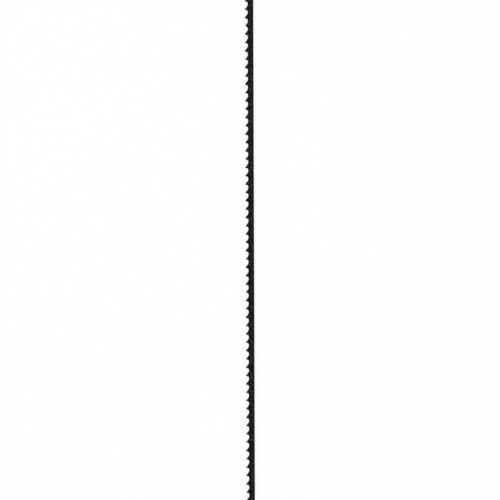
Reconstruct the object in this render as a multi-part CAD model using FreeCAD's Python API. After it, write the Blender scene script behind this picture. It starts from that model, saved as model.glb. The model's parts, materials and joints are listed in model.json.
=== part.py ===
import FreeCAD, Part
import math
import os

# Scroll saw blade with plain ends, cut from one piece of hardened strip steel and lying flat.
# Lengths are in millimetres and angles in degrees.
# X runs across the blade, with the teeth towards -X and the back towards +X.
# Y runs along it, and the teeth point and cut towards -Y.
# Z is up. The origin is under the blade's middle, on the surface that the blade lies on.

# The strip
blade_length = 127.0
blade_width = 1.78        # from the line of the tooth points to the back
blade_thickness = 0.50
edge_radius = 0.10        # rolled corners of the strip, along the back and the plain ends
end_corner_radius = 0.20  # corners of the plain ends, seen from above
plain_end = 10.0          # least length without teeth, where a blade holder grips

# The gullets, each with a steep face, a short level floor and a straight slope, and rounded between them
teeth_per_inch = 15.0
inch = 25.4
gullet_depth = 0.62
face_angle = 10.0         # of the face, from square across the strip
slope_angle = 38.0        # of the slope, which is the next tooth's back, from the strip's length
face_corner_radius = 0.38
slope_corner_radius = 0.66
point_land = 0.08         # narrow flat that is left on each tooth's point
cutter_ribs = 4           # gullets are cut this many at a time
low_rib_drop = 0.05       # the first gullet of each cut stands this much low

# The set, in which the teeth lean in turn to one side and to the other
set_angle = 16.0
bend_radius = 0.25        # inside the bend
bend_height = 0.17        # from the floor of a gullet up to where its tooth starts to bend

# Teeth that have lost some of their point, counted from the upper end, and how much
worn_points = {5: 0.15, 37: 0.08, 41: 0.08}

pitch = inch / teeth_per_inch
gullet_count = int((blade_length - 2 * plain_end) / pitch)
toothed_length = gullet_count * pitch
points_x = -blade_width / 2
back_x = blade_width / 2
upper_end_y = blade_length / 2
lower_end_y = -blade_length / 2
bend_x = points_x + gullet_depth - bend_height
floor_x = points_x + gullet_depth
half_thickness = blade_thickness / 2
rounding_share = 0.45  # of a wall, the most that a rounding on it may take
corner_radius = min(edge_radius, rounding_share * blade_thickness)
clear_of_strip = blade_width + blade_thickness  # past the strip on every open side


def gullet_face_y(gullet):
    """Place along Y where the face of a gullet starts, at the point of the tooth above it."""
    drop = low_rib_drop if gullet % cutter_ribs == 0 else 0.0
    return toothed_length / 2 - gullet * pitch - drop


def face_foot_y(gullet):
    """Place along Y where the face of a gullet would meet its floor in a sharp corner."""
    return gullet_face_y(gullet) - gullet_depth * math.tan(math.radians(face_angle))


def slope_foot_y(gullet):
    """Place along Y where the floor of a gullet would meet its slope in a sharp corner."""
    next_point_y = gullet_face_y(gullet) - pitch + point_land
    return next_point_y + gullet_depth / math.tan(math.radians(slope_angle))


def gullet_middle_y(gullet):
    """Place along Y of the middle of a gullet's floor."""
    return (face_foot_y(gullet) + slope_foot_y(gullet)) / 2


def bend_point(radius, angle, side):
    """Point at this radius and angle of the bend of a tooth that leans to a side, +1 up or -1 down."""
    turn = math.radians(angle)
    x = bend_x - radius * math.sin(turn)
    z = half_thickness + bend_radius - radius * math.cos(turn)
    return FreeCAD.Vector(x, 0, side * z)


def set_half_height():
    """Height of the outer corner of a set tooth's point above the middle of the strip."""
    turn = math.radians(set_angle)
    reach = bend_x - points_x
    bent = bend_radius * math.sin(turn)
    if reach <= bent:
        return half_thickness + bend_radius - math.sqrt(bend_radius ** 2 - reach ** 2)
    rise = bend_radius * (1 - math.cos(turn)) + (reach - bent) * math.tan(turn)
    return half_thickness + rise


def line(a, b):
    return Part.LineSegment(a, b).toShape()


def arc(a, middle, b):
    return Part.Arc(a, middle, b).toShape()


def rolled_edge(x, inward):
    """One rolled side of the strip in the X-Z plane: its edges, and where they meet the two flats."""
    r = corner_radius
    short = r * (1 - math.sqrt(0.5))
    upper = [
        FreeCAD.Vector(x + inward * r, 0, half_thickness),
        FreeCAD.Vector(x + inward * short, 0, half_thickness - short),
        FreeCAD.Vector(x, 0, half_thickness - r),
    ]
    lower = [FreeCAD.Vector(p.x, 0, -p.z) for p in reversed(upper)]
    return [arc(*upper), line(upper[2], lower[0]), arc(*lower)], upper[0], lower[2]


def plain_section():
    """Section of the strip at a plain end, rolled on both sides."""
    back, back_top, back_bottom = rolled_edge(back_x, -1)
    front, front_top, front_bottom = rolled_edge(points_x, 1)
    flats = [line(front_top, back_top), line(back_bottom, front_bottom)]
    return Part.Face(Part.Wire(Part.__sortEdges__(back + front + flats)))


def set_section(side):
    """Section through a tooth that leans to a side. It runs on past the point, for the outline to trim."""
    back, back_top, back_bottom = rolled_edge(back_x, -1)
    back_near, back_far = (back_top, back_bottom) if side > 0 else (back_bottom, back_top)
    outer_radius = bend_radius + blade_thickness
    turn = math.radians(set_angle)
    run_on = clear_of_strip * FreeCAD.Vector(-math.cos(turn), 0, side * math.sin(turn))
    near = [bend_point(bend_radius, share * set_angle, side) for share in (0, 0.5, 1)]
    far = [bend_point(outer_radius, share * set_angle, side) for share in (0, 0.5, 1)]
    edges = back + [
        line(back_near, near[0]),
        arc(*near),
        line(near[2], near[2] + run_on),
        line(near[2] + run_on, far[2] + run_on),
        line(far[2] + run_on, far[2]),
        arc(*reversed(far)),
        line(far[0], back_far),
    ]
    return Part.Face(Part.Wire(Part.__sortEdges__(edges)))


def length_of_section(section, from_y, to_y):
    """The strip between two places along Y, with this section."""
    face = section.copy()
    face.translate(FreeCAD.Vector(0, from_y, 0))
    return face.extrude(FreeCAD.Vector(0, to_y - from_y, 0))


def sheet_with_set():
    """The strip with its teeth bent, before the gullets are cut out of it. Lengths meet inside gullets."""
    middles = [gullet_middle_y(g) for g in range(gullet_count)]
    lengths = [
        length_of_section(plain_section(), upper_end_y, middles[0]),
        length_of_section(plain_section(), middles[-1], lower_end_y),
    ]
    for tooth in range(1, gullet_count):
        side = 1 if tooth % 2 else -1
        lengths.append(length_of_section(set_section(side), middles[tooth - 1], middles[tooth]))
    return lengths[0].multiFuse(lengths[1:])


def plan_solid(edges):
    """An upright solid with this outline, drawn in the X-Y plane. It reaches past the blade, up and down."""
    face = Part.Face(Part.Wire(Part.__sortEdges__(edges)))
    face.translate(FreeCAD.Vector(0, 0, -clear_of_strip))
    return face.extrude(FreeCAD.Vector(0, 0, 2 * clear_of_strip))


def upright_block(x_low, x_high, y_low, y_high):
    """An upright solid with a rectangular outline."""
    places = ((x_low, y_low), (x_high, y_low), (x_high, y_high), (x_low, y_high))
    corners = [FreeCAD.Vector(x, y, 0) for x, y in places]
    return plan_solid([line(a, b) for a, b in zip(corners, corners[1:] + corners[:1])])


def strip_outline():
    """The strip's outline seen from above, with its four end corners rounded."""
    block = upright_block(points_x, back_x, lower_end_y, upper_end_y)
    upright = [e for e in block.Edges if abs(e.tangentAt(e.FirstParameter).z) > 0.5]
    return block.makeFillet(min(end_corner_radius, rounding_share * blade_width), upright)


def rounded_corner(before, corner, after, radius):
    """Start, middle and end of the arc that rounds a corner of an outline, within its two sides."""
    to_before, to_after = before - corner, after - corner
    half_angle = to_before.getAngle(to_after) / 2
    wanted = radius / math.tan(half_angle)
    reach = min(wanted, rounding_share * to_before.Length, rounding_share * to_after.Length)
    radius = reach * math.tan(half_angle)
    to_before.normalize()
    to_after.normalize()
    bisector = (to_before + to_after).normalize()
    middle = corner + bisector * radius * (1 / math.sin(half_angle) - 1)
    return corner + reach * to_before, middle, corner + reach * to_after


def gullet_cutter(gullet):
    """What one gullet takes out of the strip. It is open past the tooth points."""
    face_foot = FreeCAD.Vector(floor_x, face_foot_y(gullet), 0)
    slope_foot = FreeCAD.Vector(floor_x, slope_foot_y(gullet), 0)
    out = gullet_depth + clear_of_strip
    rise = out * math.tan(math.radians(face_angle))
    fall = out / math.tan(math.radians(slope_angle))
    face_outside = face_foot + FreeCAD.Vector(-out, rise, 0)
    slope_outside = slope_foot + FreeCAD.Vector(-out, -fall, 0)
    face_corner = rounded_corner(face_outside, face_foot, slope_foot, face_corner_radius)
    slope_corner = rounded_corner(face_foot, slope_foot, slope_outside, slope_corner_radius)
    return plan_solid([
        line(face_outside, face_corner[0]),
        arc(*face_corner),
        line(face_corner[2], slope_corner[0]),
        arc(*slope_corner),
        line(slope_corner[2], slope_outside),
        line(slope_outside, face_outside),
    ])


def worn_point_cutter(tooth, lost):
    """What a worn tooth has lost at its point."""
    upper_y = gullet_middle_y(tooth - 1)
    lower_y = gullet_middle_y(tooth)
    return upright_block(points_x - clear_of_strip, points_x + lost, lower_y, upper_y)


def cutters():
    """Everything that is cut out of the strip."""
    worn = {tooth: lost for tooth, lost in worn_points.items() if tooth < gullet_count}
    return [
        *[gullet_cutter(gullet) for gullet in range(gullet_count)],
        *[worn_point_cutter(tooth, lost) for tooth, lost in worn.items()],
    ]


def blade():
    """The whole blade, lying on Z = 0 on the points of the teeth that lean down."""
    profile = strip_outline().cut(cutters())
    whole = sheet_with_set().common(profile).removeSplitter()
    whole.translate(FreeCAD.Vector(0, 0, set_half_height()))
    return whole


made = blade()
box = made.BoundBox
validity = "valid" if made.isValid() else "NOT VALID"
print("blade", validity, len(made.Solids), "solid,", gullet_count - 1, "set teeth")
print("volume", round(made.Volume, 3), "floor", round(face_foot_y(0) - slope_foot_y(0), 3))
print("size", round(box.XLength, 3), round(box.YLength, 3), round(box.ZLength, 3))

os.makedirs("parts", exist_ok=True)
made.Solids[0].exportStep("parts/blade.step")
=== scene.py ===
import json
import math
import random

import bmesh
import bpy
from mathutils.kdtree import KDTree
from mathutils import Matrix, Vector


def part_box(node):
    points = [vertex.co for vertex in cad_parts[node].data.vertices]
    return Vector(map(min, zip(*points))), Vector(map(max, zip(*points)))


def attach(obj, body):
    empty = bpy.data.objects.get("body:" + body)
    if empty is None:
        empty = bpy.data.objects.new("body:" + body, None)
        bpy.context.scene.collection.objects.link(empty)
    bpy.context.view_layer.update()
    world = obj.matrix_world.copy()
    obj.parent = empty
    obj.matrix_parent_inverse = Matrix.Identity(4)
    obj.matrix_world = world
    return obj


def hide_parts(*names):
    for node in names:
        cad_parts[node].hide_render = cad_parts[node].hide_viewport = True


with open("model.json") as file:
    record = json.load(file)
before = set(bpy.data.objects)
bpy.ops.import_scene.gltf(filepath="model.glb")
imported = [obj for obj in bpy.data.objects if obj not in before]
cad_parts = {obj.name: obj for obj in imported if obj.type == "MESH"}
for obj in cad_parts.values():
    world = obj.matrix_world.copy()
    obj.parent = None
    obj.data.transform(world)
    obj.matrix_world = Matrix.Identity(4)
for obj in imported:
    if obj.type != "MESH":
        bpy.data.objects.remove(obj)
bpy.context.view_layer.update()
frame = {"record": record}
mm = 0.001  # the blade is worked out in millimetres, and this makes metres of them
inch = 25.4
lowCorner, highCorner = (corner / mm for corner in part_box("blade"))
gripZ = {mount["name"]: mount["pos_m"][2] / mm for mount in frame["record"]["mounts"]}
print("frame loaded, blade box in mm:", [round(side, 3) for side in highCorner - lowCorner])

# sizes are in mm and angles in degrees
# u runs across the blade, from the line of the tooth points (0) to the back
blade = {
    "width": highCorner.x - lowCorner.x,
    "thickness": gripZ["upper_end_front"] - gripZ["upper_end_rear"],
    "rolledRadius": 0.10,     # corners of the strip: the back, and the front of the bare ends
    "endCornerRadius": 0.20,
    "plainEnd": 10.0,         # least bare length at each end
    "teethPerInch": 15,
    "gulletDepth": 0.62,
    "faceAngle": 10.0,        # of a tooth's cutting face, from square across the strip
    "slopeAngle": 38.0,       # of a tooth's back, from the strip's length
    "faceCorner": 0.38,       # radius between a cutting face and the floor of its gullet
    "slopeCorner": 0.66,      # and between the floor and the back of the next tooth
    "pointLand": 0.08,
    "cutterRibs": 4,          # gullets milled in one cut
    "lowRibDrop": 0.05,       # the first gullet of each cut stands this much low
    "seed": 15,               # of the small differences between the teeth
    "cutterDrift": 0.014,     # how far the gullets stand from their even places, as a rule
    "worn": {5: 0.15, 37: 0.08, 41: 0.08},  # tooth, counted from the upper end: what its point lost
    "leastWear": 0.004,       # and what the others lost
    "mostWear": 0.020,
    "bendFrom": 0.57,         # u where the set begins
    "bendRadius": 0.50,       # at mid thickness
    "mostLean": 30.0,         # the set's angle is looked for below this
    "leanTries": 40,          # and each try halves what is left
    "setSpread": 0.06,        # share of the set by which a tooth may fall short
    "edgeBreak": 0.012,       # deburred edge of a cut face
    "edgeShare": 0.2,         # the most that it takes of the width near a point
    "rim": 0.05,              # rubbed margin beside a cut edge
    "nearCut": 0.30,          # and how far from it the steel is darker
    "cornerSteps": 5,         # in each round of a gullet
    "floorSteps": 2,          # on its level floor
    "acrossSteps": 5,         # across a tooth
    "pointSteps": 5,          # round its worn point
    "toothLevels": [0, 0.07, 0.14, 0.23, 0.34, 0.47, 0.62, 0.77, 0.90],  # shares, root to point
    "bodyLevels": [0, 0.04, 0.10, 0.20, 0.42, 0.70],  # shares, cut edge to rolled back
    "rolledTurns": [0, 22.5, 45, 67.5, 90],
    "endTurns": [0, 15, 30, 45, 60],
    "frontRows": [0.2, 0.3, 0.4],                     # u, on the bare ends
    "endColumns": [0.12, 0.5, 1.5, 3.5, 6.0, 8.0],    # along them, from the last gullet
    "weldDigits": 5,          # places that agree to this many digits are one
    "sharpFrom": 35.0,        # edges that turn more than this stay sharp
    "flatWeight": 90,         # how much the shading follows the large faces
}
middleZ = (gripZ["upper_end_front"] + gripZ["upper_end_rear"]) / 2
halfThickness = blade["thickness"] / 2
pitch = inch / blade["teethPerInch"]
gulletCount = int((highCorner.y - lowCorner.y - 2 * blade["plainEnd"]) / pitch)
floorU = blade["gulletDepth"]
slope = math.radians(blade["slopeAngle"])
face = math.radians(90 - blade["faceAngle"])
faceRoundU = floorU - blade["faceCorner"]
slopeRoundU = floorU - blade["slopeCorner"]
rootU = slopeRoundU + blade["slopeCorner"] * math.cos(slope)  # where a tooth's back meets its round

random.seed(blade["seed"])
drifts = [0.0] + [random.gauss(0, blade["cutterDrift"]) for _ in range(gulletCount - 2)] + [0.0]


# places along y of gullet number g, counted from the upper end
def faceY(g):
    drop = blade["lowRibDrop"] if g % blade["cutterRibs"] == 0 else 0
    return gulletCount * pitch / 2 - g * pitch - drop + drifts[g]


def faceRoundY(g):
    return faceY(g) - floorU / math.tan(face) - blade["faceCorner"] * math.tan(face / 2)


def slopeRoundY(g):
    return slopeY(g, floorU) + blade["slopeCorner"] * math.tan(slope / 2)


def slopeY(g, u):  # back of the tooth below the gullet
    return faceY(g) - pitch + blade["pointLand"] + u / math.tan(slope)


def undersideAngle(u):  # of the way into the tooth, from the way across the strip
    return min(face, math.acos(min(1, max(0, (u - faceRoundU) / blade["faceCorner"]))))


def undersideY(g, u):  # of the tooth above the gullet
    angle = undersideAngle(u)
    if angle == face:
        return faceY(g) - u / math.tan(face)
    return faceRoundY(g) + blade["faceCorner"] * math.sin(angle)


# the set: the sheet is bent after milling, so the cut faces lean over with their tooth
def pointHeight(angle):
    outer = blade["bendRadius"] + halfThickness
    straight = (blade["bendFrom"] - outer * math.sin(angle)) / math.cos(angle)
    rise = blade["bendRadius"] * (1 - math.cos(angle)) + straight * math.sin(angle)
    return rise + halfThickness * math.cos(angle)


def fullSetAngle():  # the lean that takes the points to the top of the CAD model's box
    low, high = 0.0, math.radians(blade["mostLean"])
    for _ in range(blade["leanTries"]):
        angle = (low + high) / 2
        if pointHeight(angle) < highCorner.z - middleZ:
            low = angle
        else:
            high = angle
    return low


fullSet = fullSetAngle()
setAngles = {t: fullSet * (1 - blade["setSpread"] * random.random()) for t in range(1, gulletCount)}
print("gullets:", gulletCount, "full set in degrees:", round(math.degrees(fullSet), 2))


def bent(u, z, tooth):  # from the flat sheet to the set tooth, seen along the blade
    past = blade["bendFrom"] - u
    if past <= 0 or tooth not in setAngles:
        return u, z
    r, angle = blade["bendRadius"], setAngles[tooth]
    outer = r + halfThickness
    turn, beyond = angle, (past - outer * math.sin(angle)) / math.cos(angle)
    if beyond < 0:
        turn, beyond = math.asin(past / outer), 0
    side = 1 if tooth % 2 else -1
    alongU = blade["bendFrom"] - r * math.sin(turn) - beyond * math.cos(turn)
    rise = r * (1 - math.cos(turn)) + beyond * math.sin(turn)
    return alongU + side * z * math.sin(turn), side * rise + z * math.cos(turn)


def arcDrop(fromEdge, r):  # how far a quarter round has fallen away, this far from its edge
    return 0 if fromEdge >= r else r - math.sqrt(max(0, r * r - (r - fromEdge) ** 2))


def halfHeight(u, rolledFront):
    drop = arcDrop(blade["width"] - u, blade["rolledRadius"])
    if rolledFront:
        drop = max(drop, arcDrop(u, blade["rolledRadius"]))
    return halfThickness - drop


def tucked(u, y):  # brings u in at the rounded corners of the bare ends
    half = blade["width"] / 2
    inward = arcDrop(min(highCorner.y - y, y - lowCorner.y), blade["endCornerRadius"])
    return half + (u - half) * (1 - inward / half)


# a place on the outline has a wall down the thickness, and inward from it the flat begins
def place(u, y, inwardU, inwardY, tooth, rolledFront=False, milled=1.0, edge=blade["edgeBreak"]):
    return {
        "u": u,
        "y": y,
        "inU": u + edge * inwardU,
        "inY": y + edge * inwardY,
        "edge": edge,
        "tooth": tooth,
        "rolledFront": rolledFront,
        "milled": milled,
    }


def roundPlaces(u, y, r, start, end, tooth):
    places = []
    for i in range(blade["cornerSteps"] + 1):
        a = start + (end - start) * i / blade["cornerSteps"]
        places.append(place(u + r * math.cos(a), y + r * math.sin(a), math.cos(a), math.sin(a), tooth))
    return places


def floorPlaces(g):  # from the root of the tooth above to the root of the tooth below
    high, low = faceRoundY(g), slopeRoundY(g)
    level = [high + (low - high) * i / blade["floorSteps"] for i in range(1, blade["floorSteps"])]
    upper = roundPlaces(faceRoundU, high, blade["faceCorner"], undersideAngle(rootU), 0, g)
    lower = roundPlaces(slopeRoundU, low, blade["slopeCorner"], 0, -slope, g + 1)
    return upper + [place(floorU, y, 1, 0, g) for y in level] + lower


def slopePlace(t, u, edge=blade["edgeBreak"], rolledFront=False):
    return place(u, slopeY(t - 1, u), math.cos(slope), -math.sin(slope), t, rolledFront, edge=edge)


def undersidePlace(t, u, edge=blade["edgeBreak"], rolledFront=False):
    a = undersideAngle(u)
    return place(u, undersideY(t, u), math.cos(a), math.sin(a), t, rolledFront, edge=edge)


def narrowEdge(width):  # the broken edge where there is little width for it
    return min(blade["edgeBreak"], blade["edgeShare"] * width)


def cornerU(t):  # where the back and the face of a tooth would meet if it weren't worn
    land = slopeY(t - 1, 0) - faceY(t)
    return -land / (1 / math.tan(slope) + 1 / math.tan(face))


def tipU(t):  # where the back and the face end and the worn point begins
    wear = max(wears[t], cornerU(t) + blade["leastWear"])
    return 2 * wear - cornerU(t)


def wornPoint(t):  # a curve drawn towards the corner that was there
    tip = tipU(t)
    startY, endY = slopeY(t - 1, tip), undersideY(t, tip)
    lost = (startY - endY) / (1 / math.tan(slope) + 1 / math.tan(undersideAngle(tip)))
    midU, midY = tip - lost, startY - lost / math.tan(slope)
    places = []
    for i in range(blade["pointSteps"] + 1):
        s = i / blade["pointSteps"]
        u = (1 - s) ** 2 * tip + 2 * s * (1 - s) * midU + s * s * tip
        y = (1 - s) ** 2 * startY + 2 * s * (1 - s) * midY + s * s * endY
        alongU = (1 - s) * (midU - tip) + s * (tip - midU)
        alongY = (1 - s) * (midY - startY) + s * (endY - midY)
        size = math.hypot(alongU, alongY)
        places.append(place(u, y, -alongY / size, alongU / size, t, edge=narrowEdge(lost)))
    return places


def toothPlaces(t):  # its back and its underside, each from root to point, and the point
    back, under = [], []
    for share in blade["toothLevels"][1:]:
        u = rootU + (tipU(t) - rootU) * share
        edge = narrowEdge(slopeY(t - 1, u) - undersideY(t, u))
        back.append(slopePlace(t, u, edge))
        under.append(undersidePlace(t, u, edge))
    return [floors[t - 1][-1]] + back, [floors[t][0]] + under, wornPoint(t)


wears = {t: random.uniform(blade["leastWear"], blade["mostWear"]) for t in range(1, gulletCount)}
wears.update(blade["worn"])
floors = [floorPlaces(g) for g in range(gulletCount)]
teeth = {t: toothPlaces(t) for t in range(1, gulletCount)}

# u of the rows in front of the root line on the bare ends, and along the back
quarterTurns = [math.sin(math.radians(turn)) for turn in blade["rolledTurns"]]
rolledRows = [blade["rolledRadius"] * (1 - s) for s in reversed(quarterTurns)]
frontRows = rolledRows + blade["frontRows"] + [rootU]
backRows = [blade["width"] - u for u in reversed(rolledRows)]


def endColumns(start, end):  # y of the columns on a bare end, without the end itself
    way = 1 if end > start else -1
    plain = [start + way * away for away in blade["endColumns"]]
    corner = []
    for turn in blade["endTurns"]:
        corner.append(end - way * blade["endCornerRadius"] * (1 - math.sin(math.radians(turn))))
    return plain + corner + [end - way * blade["edgeBreak"]]


# where the first and the last gullet cut into the bare ends
upperColumns = endColumns(faceY(0), highCorner.y)
lowerColumns = endColumns(slopeY(gulletCount - 1, 0), lowCorner.y)
upperCorner = place(0, faceY(0), 0, 1 / math.sin(face), 0, True)
upperMilled = [undersidePlace(0, u, rolledFront=True) for u in frontRows[1:-1]]
upperMilled = [upperCorner] + upperMilled + [floors[0][0]]
lowerCorner = place(0, slopeY(gulletCount - 1, 0), 0, -1 / math.sin(slope), gulletCount, True)
lowerMilled = [slopePlace(gulletCount, u, rolledFront=True) for u in frontRows[1:-1]]
lowerMilled = [lowerCorner] + lowerMilled + [floors[-1][-1]]


def across(a, b):  # points on the flat from one place to another, closer together at the rims
    width = math.hypot(a["inU"] - b["inU"], a["inY"] - b["inY"])
    steps = blade["acrossSteps"]
    side = min(1 / steps, blade["rim"] / width)
    shares = [0] + [side + (1 - 2 * side) * i / (steps - 2) for i in range(steps - 1)] + [1]
    return [(a["inU"] + (b["inU"] - a["inU"]) * s, a["inY"] + (b["inY"] - a["inY"]) * s) for s in shares]


def bodyColumns():  # where each column starts, the tooth that it bends with, and whether that is at a cut
    starts = [(rootU, y, 0, 0.0) for y in reversed(upperColumns)]
    for g, floor in enumerate(floors):
        starts += [(p["inU"], p["inY"], p["tooth"], 1.0) for p in floor]
        if g + 1 < gulletCount:
            starts += [(u, y, g + 1, 0.0) for u, y in across(floor[-1], floors[g + 1][0])[1:-1]]
    return starts + [(rootU, y, gulletCount, 0.0) for y in lowerColumns]


def outlinePlaces():  # once round, from the top of the front
    last = gulletCount
    bodyRows = [rootU + (backRows[0] - rootU) * s for s in blade["bodyLevels"]]
    endRows = frontRows[:-1] + bodyRows + backRows
    places = [place(0, y, 0, 0, 0, True, 0.0) for y in reversed(upperColumns[:-1])]
    places += upperMilled[:-1]
    for g, floor in enumerate(floors):
        places += floor
        if g + 1 < gulletCount:
            back, under, nose = teeth[g + 1]
            places += back[1:] + nose + under[:0:-1]
    places += lowerMilled[-2::-1]
    places += [place(0, y, 0, 0, last, True, 0.0) for y in lowerColumns[:-1]]
    places += [place(u, lowCorner.y, 0, 1, last, True) for u in endRows]
    backYs = [y for u, y, tooth, cut in bodyColumns()]
    places += [place(blade["width"], y, 0, 0, last, True, 0.0) for y in backYs[-2:0:-1]]
    places += [place(u, highCorner.y, 0, -1, 0, True) for u in reversed(endRows)]
    return places


# the surface laid out flat in lines an inch long, as text is on a page, so that it can be painted finely
page = {
    "line": inch,
    "spare": 0.001,           # share of a line that starts no new one
    "slack": 0.35,            # at both ends of a line, for the faces that reach past it
    "gap": 0.07,              # between the lines
    "margin": 0.06,           # for the rolled front, which laid flat reaches past u = 0
    "rolledExtra": 0.13,      # what the rolled edges add to the width
    "brokenExtra": 0.03,      # what the broken edges add to the thickness
}
outline = outlinePlaces()
runs = [0.0]  # how far round each place is
for before, after in zip(outline, outline[1:] + outline[:1]):
    runs.append(runs[-1] + math.hypot(after["u"] - before["u"], after["y"] - before["y"]))
flatHeight = blade["width"] + page["rolledExtra"]
laneHeights = {"top": flatHeight, "bottom": flatHeight, "wall": blade["thickness"] + page["brokenExtra"]}
laneLengths = {"top": highCorner.y - lowCorner.y, "bottom": highCorner.y - lowCorner.y, "wall": runs[-1]}
laneLines = {lane: math.ceil(length / page["line"] - page["spare"]) for lane, length in laneLengths.items()}
laneStarts, pageHeight = {}, page["gap"]
for lane in laneHeights:
    laneStarts[lane] = pageHeight
    pageHeight += laneLines[lane] * (laneHeights[lane] + page["gap"])
pageSide = max(pageHeight, page["line"] + 2 * page["slack"])
print("outline places:", len(outline), "page side in mm:", round(pageSide, 2))

cutPlaces = [p for p in outline if p["milled"]]
cutTree = KDTree(len(cutPlaces))
for n, p in enumerate(cutPlaces):
    cutTree.insert((p["u"], p["y"], 0), n)
cutTree.balance()

mesh = bmesh.new()
milledLayer = mesh.verts.layers.float.new("milled")
rimLayer = mesh.verts.layers.float.new("rim")
nearLayer = mesh.verts.layers.float.new("near_cut")
pageLayer = mesh.loops.layers.uv.new("OFBake")
knownVerts = {}


def vertAt(u, y, z, tooth, milled=0.0, rim=0.0):
    leanU, leanZ = bent(u, z, tooth)
    x = lowCorner.x + tucked(leanU, y)
    key = tuple(round(value, blade["weldDigits"]) for value in (x, y, leanZ))
    if key not in knownVerts:
        vert = mesh.verts.new((x * mm, y * mm, (middleZ + leanZ) * mm))
        vert[milledLayer], vert[rimLayer] = milled, rim
        vert[nearLayer] = max(0, 1 - cutTree.find((u, y, 0))[2] / blade["nearCut"])
        knownVerts[key] = vert
    return knownVerts[key]


def addFace(lane, corners):  # a corner is a vert, and how far it is along the lane and across it
    corners = [c for n, c in enumerate(corners) if c[0] is not corners[n - 1][0]]
    if len(corners) < 3:
        return
    middle = sum(c[1] for c in corners) / len(corners)
    line = min(laneLines[lane] - 1, int(middle / page["line"]))
    left = page["slack"] - line * page["line"]
    low = laneStarts[lane] + line * (laneHeights[lane] + page["gap"])
    polygon = mesh.faces.new([c[0] for c in corners])
    polygon.smooth = True
    for loop, (_, along, up) in zip(polygon.loops, corners):
        loop[pageLayer].uv = ((left + along) / pageSide, (low + up) / pageSide)


def addGrid(lane, rows):
    for row, after in zip(rows, rows[1:]):
        for i in range(len(row) - 1):
            addFace(lane, [row[i], after[i], after[i + 1], row[i + 1]])


def joinRows(lane, row, short):  # from a row to one with fewer verts
    near = [round(i * (len(short) - 1) / (len(row) - 1)) for i in range(len(row))]
    for i in range(len(row) - 1):
        addFace(lane, [row[i], row[i + 1], short[near[i + 1]], short[near[i]]])


def laidFlat(u):  # u with the rolled edges unrolled
    r = blade["rolledRadius"]
    if u > blade["width"] - r:
        return blade["width"] - r + r * math.asin(min(1, (u - blade["width"] + r) / r))
    return u if u >= r else r - r * math.asin(min(1, (r - u) / r))


def flatCorner(u, y, tooth, side, rolledFront=False, rim=0.0):
    vert = vertAt(u, y, side * halfHeight(u, rolledFront), tooth, rim=rim)
    return vert, highCorner.y - y, laidFlat(u) + page["margin"]


def addBody(lane, side):  # from the gullets and the bare ends' root line to the back
    rows = []
    for u, y, tooth, cut in bodyColumns():
        reach = backRows[0] - u
        row = []
        for share in blade["bodyLevels"]:
            row.append(flatCorner(u + reach * share, y, tooth, side, rim=0.0 if share else cut))
        rows.append(row + [flatCorner(b, y, tooth, side) for b in backRows])
    addGrid(lane, rows)


def addToothFlat(lane, side, t):
    back, under, nose = teeth[t]
    rows = []
    for start, end in zip(back, under):
        rung = across(start, end)
        rims = [1.0] + [0.0] * (len(rung) - 2) + [1.0]
        rows.append([flatCorner(u, y, t, side, rim=rim) for (u, y), rim in zip(rung, rims)])
    addGrid(lane, rows)
    joinRows(lane, rows[-1], [flatCorner(p["inU"], p["inY"], t, side, rim=1.0) for p in nose])


def addEndFlat(lane, side, milled, columns, tooth):  # what is in front of the root line on a bare end
    rows = [[flatCorner(p["inU"], p["inY"], tooth, side, True, 1.0) for p in milled]]
    rows += [[flatCorner(u, y, tooth, side, True) for u in frontRows] for y in columns]
    addGrid(lane, rows)


def addFlats(lane, side):
    addBody(lane, side)
    for t in teeth:
        addToothFlat(lane, side, t)
    addEndFlat(lane, side, upperMilled, upperColumns, 0)
    addEndFlat(lane, side, lowerMilled, lowerColumns, gulletCount)


def wallColumn(p, run):  # flat, broken edge, wall, broken edge, flat
    inHeight = halfHeight(p["inU"], p["rolledFront"])
    height = halfHeight(p["u"], p["rolledFront"])
    wall = height - p["edge"]
    soft = 1 - math.sqrt(0.5)  # half way round the broken edge
    midU = p["u"] + soft * (p["inU"] - p["u"])
    midY = p["y"] + soft * (p["inY"] - p["y"])
    upper = [
        (p["inU"], p["inY"], inHeight, 0.0),
        (midU, midY, height - soft * p["edge"], p["milled"]),  # the last value marks the rubbed edge
        (p["u"], p["y"], wall, p["milled"]),
        (p["u"], p["y"], wall / 2, 0.0),
    ]
    lower = [(u, y, -z, rim) for u, y, z, rim in reversed(upper)]
    points = upper + [(p["u"], p["y"], 0, 0.0)] + lower
    column, down = [], 0.0
    for n, (u, y, z, rim) in enumerate(points):
        down += math.dist(points[n - 1][:3], (u, y, z)) if n else 0
        column.append((vertAt(u, y, z, p["tooth"], p["milled"], rim), run, down))
    return column


def addWall():
    columns = [wallColumn(p, run) for p, run in zip(outline, runs)]
    columns.append([(vert, runs[-1], down) for vert, run, down in columns[0]])
    addGrid("wall", columns)


addFlats("top", 1)
addFlats("bottom", -1)
print("flats:", len(mesh.faces), "faces")
addWall()
bmesh.ops.recalc_face_normals(mesh, faces=mesh.faces)
openEdges = sum(not edge.is_manifold for edge in mesh.edges)
volume = mesh.calc_volume() / mm ** 3
print("blade:", len(mesh.faces), "faces, open edges:", openEdges, "volume in mm3:", round(volume, 3))
bladeMesh = bpy.data.meshes.new("saw_blade")
mesh.to_mesh(bladeMesh)
mesh.free()
bladeMesh.set_sharp_from_angle(angle=math.radians(blade["sharpFrom"]))
sawBlade = bpy.data.objects.new("saw_blade", bladeMesh)
bpy.context.scene.collection.objects.link(sawBlade)
weighted = sawBlade.modifiers.new("flat faces stay flat", "WEIGHTED_NORMAL")
weighted.keep_sharp = True
weighted.weight = blade["flatWeight"]


def feed(tree, socket, value):
    if isinstance(value, bpy.types.NodeSocket):
        tree.links.new(value, socket)
    else:
        socket.default_value = value


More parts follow.
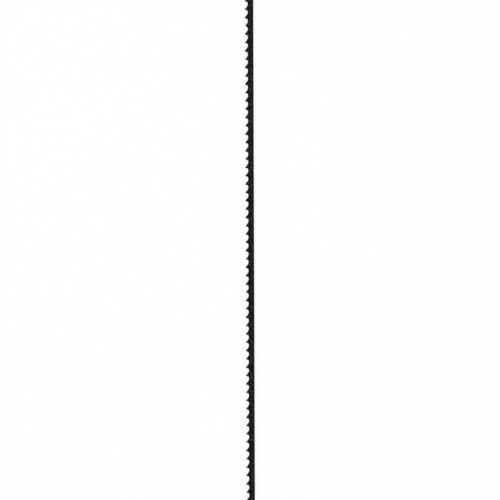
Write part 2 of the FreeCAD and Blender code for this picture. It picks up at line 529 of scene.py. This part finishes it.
def addNode(tree, kind, inputs=None, **settings):
    node = tree.nodes.new(kind)
    for name, value in settings.items():
        setattr(node, name, value)
    for name, value in (inputs or {}).items():
        feed(tree, node.inputs[name], value)
    return node


def maths(tree, operation, *values):
    return addNode(tree, "ShaderNodeMath", dict(enumerate(values)), operation=operation).outputs[0]


def remap(tree, value, fromMin, fromMax, toMin, toMax, kind="SMOOTHSTEP"):
    inputs = {"Value": value, "From Min": fromMin, "From Max": fromMax, "To Min": toMin, "To Max": toMax}
    return addNode(tree, "ShaderNodeMapRange", inputs, interpolation_type=kind).outputs[0]


def noiseAt(tree, spot, size, detail, roughness):
    closer = [1 / side for side in size]
    scaled = addNode(tree, "ShaderNodeVectorMath", {0: spot, 1: closer}, operation="MULTIPLY")
    inputs = {"Vector": scaled.outputs[0], "Scale": 1.0, "Detail": detail, "Roughness": roughness}
    return addNode(tree, "ShaderNodeTexNoise", inputs).outputs[0]


def attribute(tree, name):
    return addNode(tree, "ShaderNodeAttribute", attribute_name=name).outputs["Fac"]


def mixColours(tree, share, first, second):
    inputs = {0: share, 6: first, 7: second}
    return addNode(tree, "ShaderNodeMix", inputs, data_type="RGBA").outputs[2]


def bump(tree, height, pattern, **below):
    inputs = {"Strength": 1.0, "Distance": height * mm, "Height": pattern, **below}
    return addNode(tree, "ShaderNodeBump", inputs).outputs[0]


steel = {
    "dark": (0.0010, 0.0012, 0.0013, 1),
    "light": (0.1070, 0.1180, 0.1228, 1),
    "bare": (0.090, 0.093, 0.091, 1),  # where the black has rubbed off
    # of each pattern: size of a spot across, along and through in mm, detail, roughness
    "speckle": ((0.17, 0.32, 0.17), 6.0, 0.68),
    "cloud": ((0.5, 0.9, 0.5), 2.0, 0.5),
    "streak": ((0.035, 1.6, 0.3), 3.0, 0.6),
    "cutterMark": ((0.035, 0.035, 0.9), 2.0, 0.6),
    "rub": ((0.05, 0.08, 0.05), 2.0, 0.6),
    "rollingLine": ((0.018, 2.4, 0.05), 2.0, 0.6),
    # stretch of the pattern that counts, and what it adds at the two ends of it
    "speckleTone": (0.505, 0.770, 0, 0.74),
    "cloudTone": (0.35, 0.65, 0, 0.02),
    "streakTone": (0.45, 0.70, 0, 0.07),
    "cutterTone": (0.45, 0.70, 0, 0.10),
    "rubShare": (0.53, 0.70, 0, 1),
    "streakRoughness": (0.25, 0.75, 0, 0.14),
    # a paler band, in mm from the back: it comes in over the first stretch and goes over the second
    "bandTeethSide": (0.92, 0.37),
    "bandBackSide": (0.32, 0.07),
    "bandTone": 0.015,
    "nearCutShade": 0.4,               # share of the tone that is left there
    "milledShade": 0.6,
    "leastRoughness": 0.34,
    "milledRoughness": 0.08,           # added on the cut faces
    "rubbedPolish": 0.12,              # taken off where the edges are rubbed
    "lineHeight": 0.0018,
    "cutterHeight": 0.0030,
}


def steelTone(tree, spot, streak, cutterMark, milled):  # 0 for the dark colour, 1 for the light one
    x = addNode(tree, "ShaderNodeSeparateXYZ", {0: spot}).outputs[0]
    teethSide = [highCorner.x - away for away in steel["bandTeethSide"]]
    backSide = [highCorner.x - away for away in steel["bandBackSide"]]
    band = maths(tree, "MULTIPLY", remap(tree, x, *teethSide, 0, 1), remap(tree, x, *backSide, 1, 0))
    tone = remap(tree, noiseAt(tree, spot, *steel["speckle"]), *steel["speckleTone"], "LINEAR")
    tone = maths(tree, "ADD", tone, remap(tree, noiseAt(tree, spot, *steel["cloud"]), *steel["cloudTone"]))
    tone = maths(tree, "ADD", tone, remap(tree, streak, *steel["streakTone"]))
    tone = maths(tree, "ADD", tone, maths(tree, "MULTIPLY", band, steel["bandTone"]))
    tone = maths(tree, "MULTIPLY", tone, remap(tree, milled, 0, 1, 1, steel["milledShade"]))
    nearCut = attribute(tree, "near_cut")
    tone = maths(tree, "MULTIPLY", tone, remap(tree, nearCut, 0, 1, 1, steel["nearCutShade"]))
    marks = maths(tree, "MULTIPLY", milled, remap(tree, cutterMark, *steel["cutterTone"]))
    return maths(tree, "ADD", tone, marks)


def blackenedSteel():
    material = bpy.data.materials.new("blackened steel")
    material.use_nodes = True
    tree = material.node_tree
    shader = tree.nodes["Principled BSDF"]
    where = addNode(tree, "ShaderNodeTexCoord").outputs["Object"]
    spot = addNode(tree, "ShaderNodeVectorMath", {0: where, "Scale": 1 / mm}, operation="SCALE").outputs[0]
    milled = attribute(tree, "milled")
    streak = noiseAt(tree, spot, *steel["streak"])
    cutterMark = noiseAt(tree, spot, *steel["cutterMark"])
    rub = remap(tree, noiseAt(tree, spot, *steel["rub"]), *steel["rubShare"])
    rubbed = maths(tree, "MULTIPLY", attribute(tree, "rim"), rub)

    tone = steelTone(tree, spot, streak, cutterMark, milled)
    blackened = mixColours(tree, tone, steel["dark"], steel["light"])
    feed(tree, shader.inputs["Base Color"], mixColours(tree, rubbed, blackened, steel["bare"]))
    feed(tree, shader.inputs["Metallic"], 1.0)

    dull = maths(tree, "ADD", steel["leastRoughness"], remap(tree, streak, *steel["streakRoughness"]))
    dull = maths(tree, "ADD", dull, remap(tree, milled, 0, 1, 0, steel["milledRoughness"]))
    dull = maths(tree, "SUBTRACT", dull, maths(tree, "MULTIPLY", rubbed, steel["rubbedPolish"]))
    feed(tree, shader.inputs["Roughness"], dull)

    lines = bump(tree, steel["lineHeight"], noiseAt(tree, spot, *steel["rollingLine"]))
    cuts = maths(tree, "MULTIPLY", milled, cutterMark)
    feed(tree, shader.inputs["Normal"], bump(tree, steel["cutterHeight"], cuts, Normal=lines))
    return material


sawBlade.data.materials.append(blackenedSteel())
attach(sawBlade, "root")
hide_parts("blade")
print("steel done")

studio = {
    "floorSize": 1600,      # mm
    "paper": 0.9,           # the floor's colour, for the light that it throws back
    "shadowShare": 0.14,    # how much of the shadows on it the camera sees
    "worldLevel": 0.70,
    "lamps": {              # place and size in mm, power in watts, aimed at the blade
        "key": ((-260, 180, 520), 420, 0.9),
        "fill": ((340, -220, 420), 380, 0.5),
    },
}


def whiteForCamera(tree):  # 1 for what the camera sees, straight or in a reflection
    rays = addNode(tree, "ShaderNodeLightPath").outputs
    seen = maths(tree, "MAXIMUM", rays["Is Camera Ray"], rays["Is Glossy Ray"])
    return maths(tree, "MAXIMUM", seen, rays["Is Transmission Ray"])


def paleFloor():
    material = bpy.data.materials.new("white paper")
    material.use_nodes = True
    tree = material.node_tree
    tree.nodes.clear()
    paperColour = (studio["paper"], studio["paper"], studio["paper"], 1)
    paper = addNode(tree, "ShaderNodeBsdfDiffuse", {"Color": paperColour}).outputs[0]
    shaded = addNode(tree, "ShaderNodeBsdfDiffuse", {"Color": (1, 1, 1, 1)}).outputs[0]
    white = addNode(tree, "ShaderNodeEmission", {"Color": (1, 1, 1, 1), "Strength": 1.0}).outputs[0]
    seen = addNode(tree, "ShaderNodeMixShader", {0: studio["shadowShare"], 1: white, 2: shaded}).outputs[0]
    both = addNode(tree, "ShaderNodeMixShader", {0: whiteForCamera(tree), 1: paper, 2: seen}).outputs[0]
    addNode(tree, "ShaderNodeOutputMaterial", {"Surface": both})
    return material


def addFloor():
    half = studio["floorSize"] * mm / 2
    corners = [(-half, -half, 0), (half, -half, 0), (half, half, 0), (-half, half, 0)]
    sheet = bpy.data.meshes.new("floor")
    sheet.from_pydata(corners, [], [(0, 1, 2, 3)])
    sheet.materials.append(paleFloor())
    floor = bpy.data.objects.new("floor", sheet)
    bpy.context.scene.collection.objects.link(floor)


def addLights():
    world = bpy.data.worlds.new("studio")
    bpy.context.scene.world = world
    world.use_nodes = True
    tree = world.node_tree
    level = maths(tree, "MAXIMUM", whiteForCamera(tree), studio["worldLevel"])
    feed(tree, tree.nodes["Background"].inputs["Strength"], level)
    feed(tree, tree.nodes["Background"].inputs["Color"], (1, 1, 1, 1))

    for name, (spot, size, power) in studio["lamps"].items():
        light = bpy.data.lights.new(name, "AREA")
        light.size, light.energy = size * mm, power
        lamp = bpy.data.objects.new(name, light)
        lamp.location = [side * mm for side in spot]
        lamp.rotation_euler = (-lamp.location).to_track_quat("-Z", "Y").to_euler()
        bpy.context.scene.collection.objects.link(lamp)


addFloor()
addLights()

view = {
    "lens": 150,
    "sensor": 36,
    "seen": 101.69,         # mm of the blade that the picture holds
    "aimX": 0.047,
    "aimY": -0.606,
    "lean": -0.194,         # degrees by which the camera is rolled
    "clipStart": 10,
    "clipEnd": 5000,
}


def addCamera():
    data = bpy.data.cameras.new("camera")
    data.lens, data.sensor_width = view["lens"], view["sensor"]
    data.clip_start, data.clip_end = view["clipStart"] * mm, view["clipEnd"] * mm
    distance = view["seen"] * view["lens"] / view["sensor"]
    camera = bpy.data.objects.new("camera", data)
    camera.location = (view["aimX"] * mm, view["aimY"] * mm, (middleZ + distance) * mm)
    camera.rotation_euler = (0, 0, math.radians(view["lean"]))
    bpy.context.scene.collection.objects.link(camera)
    bpy.context.scene.camera = camera


addCamera()
bpy.context.scene.view_settings.view_transform = "Standard"
print("studio and camera done")
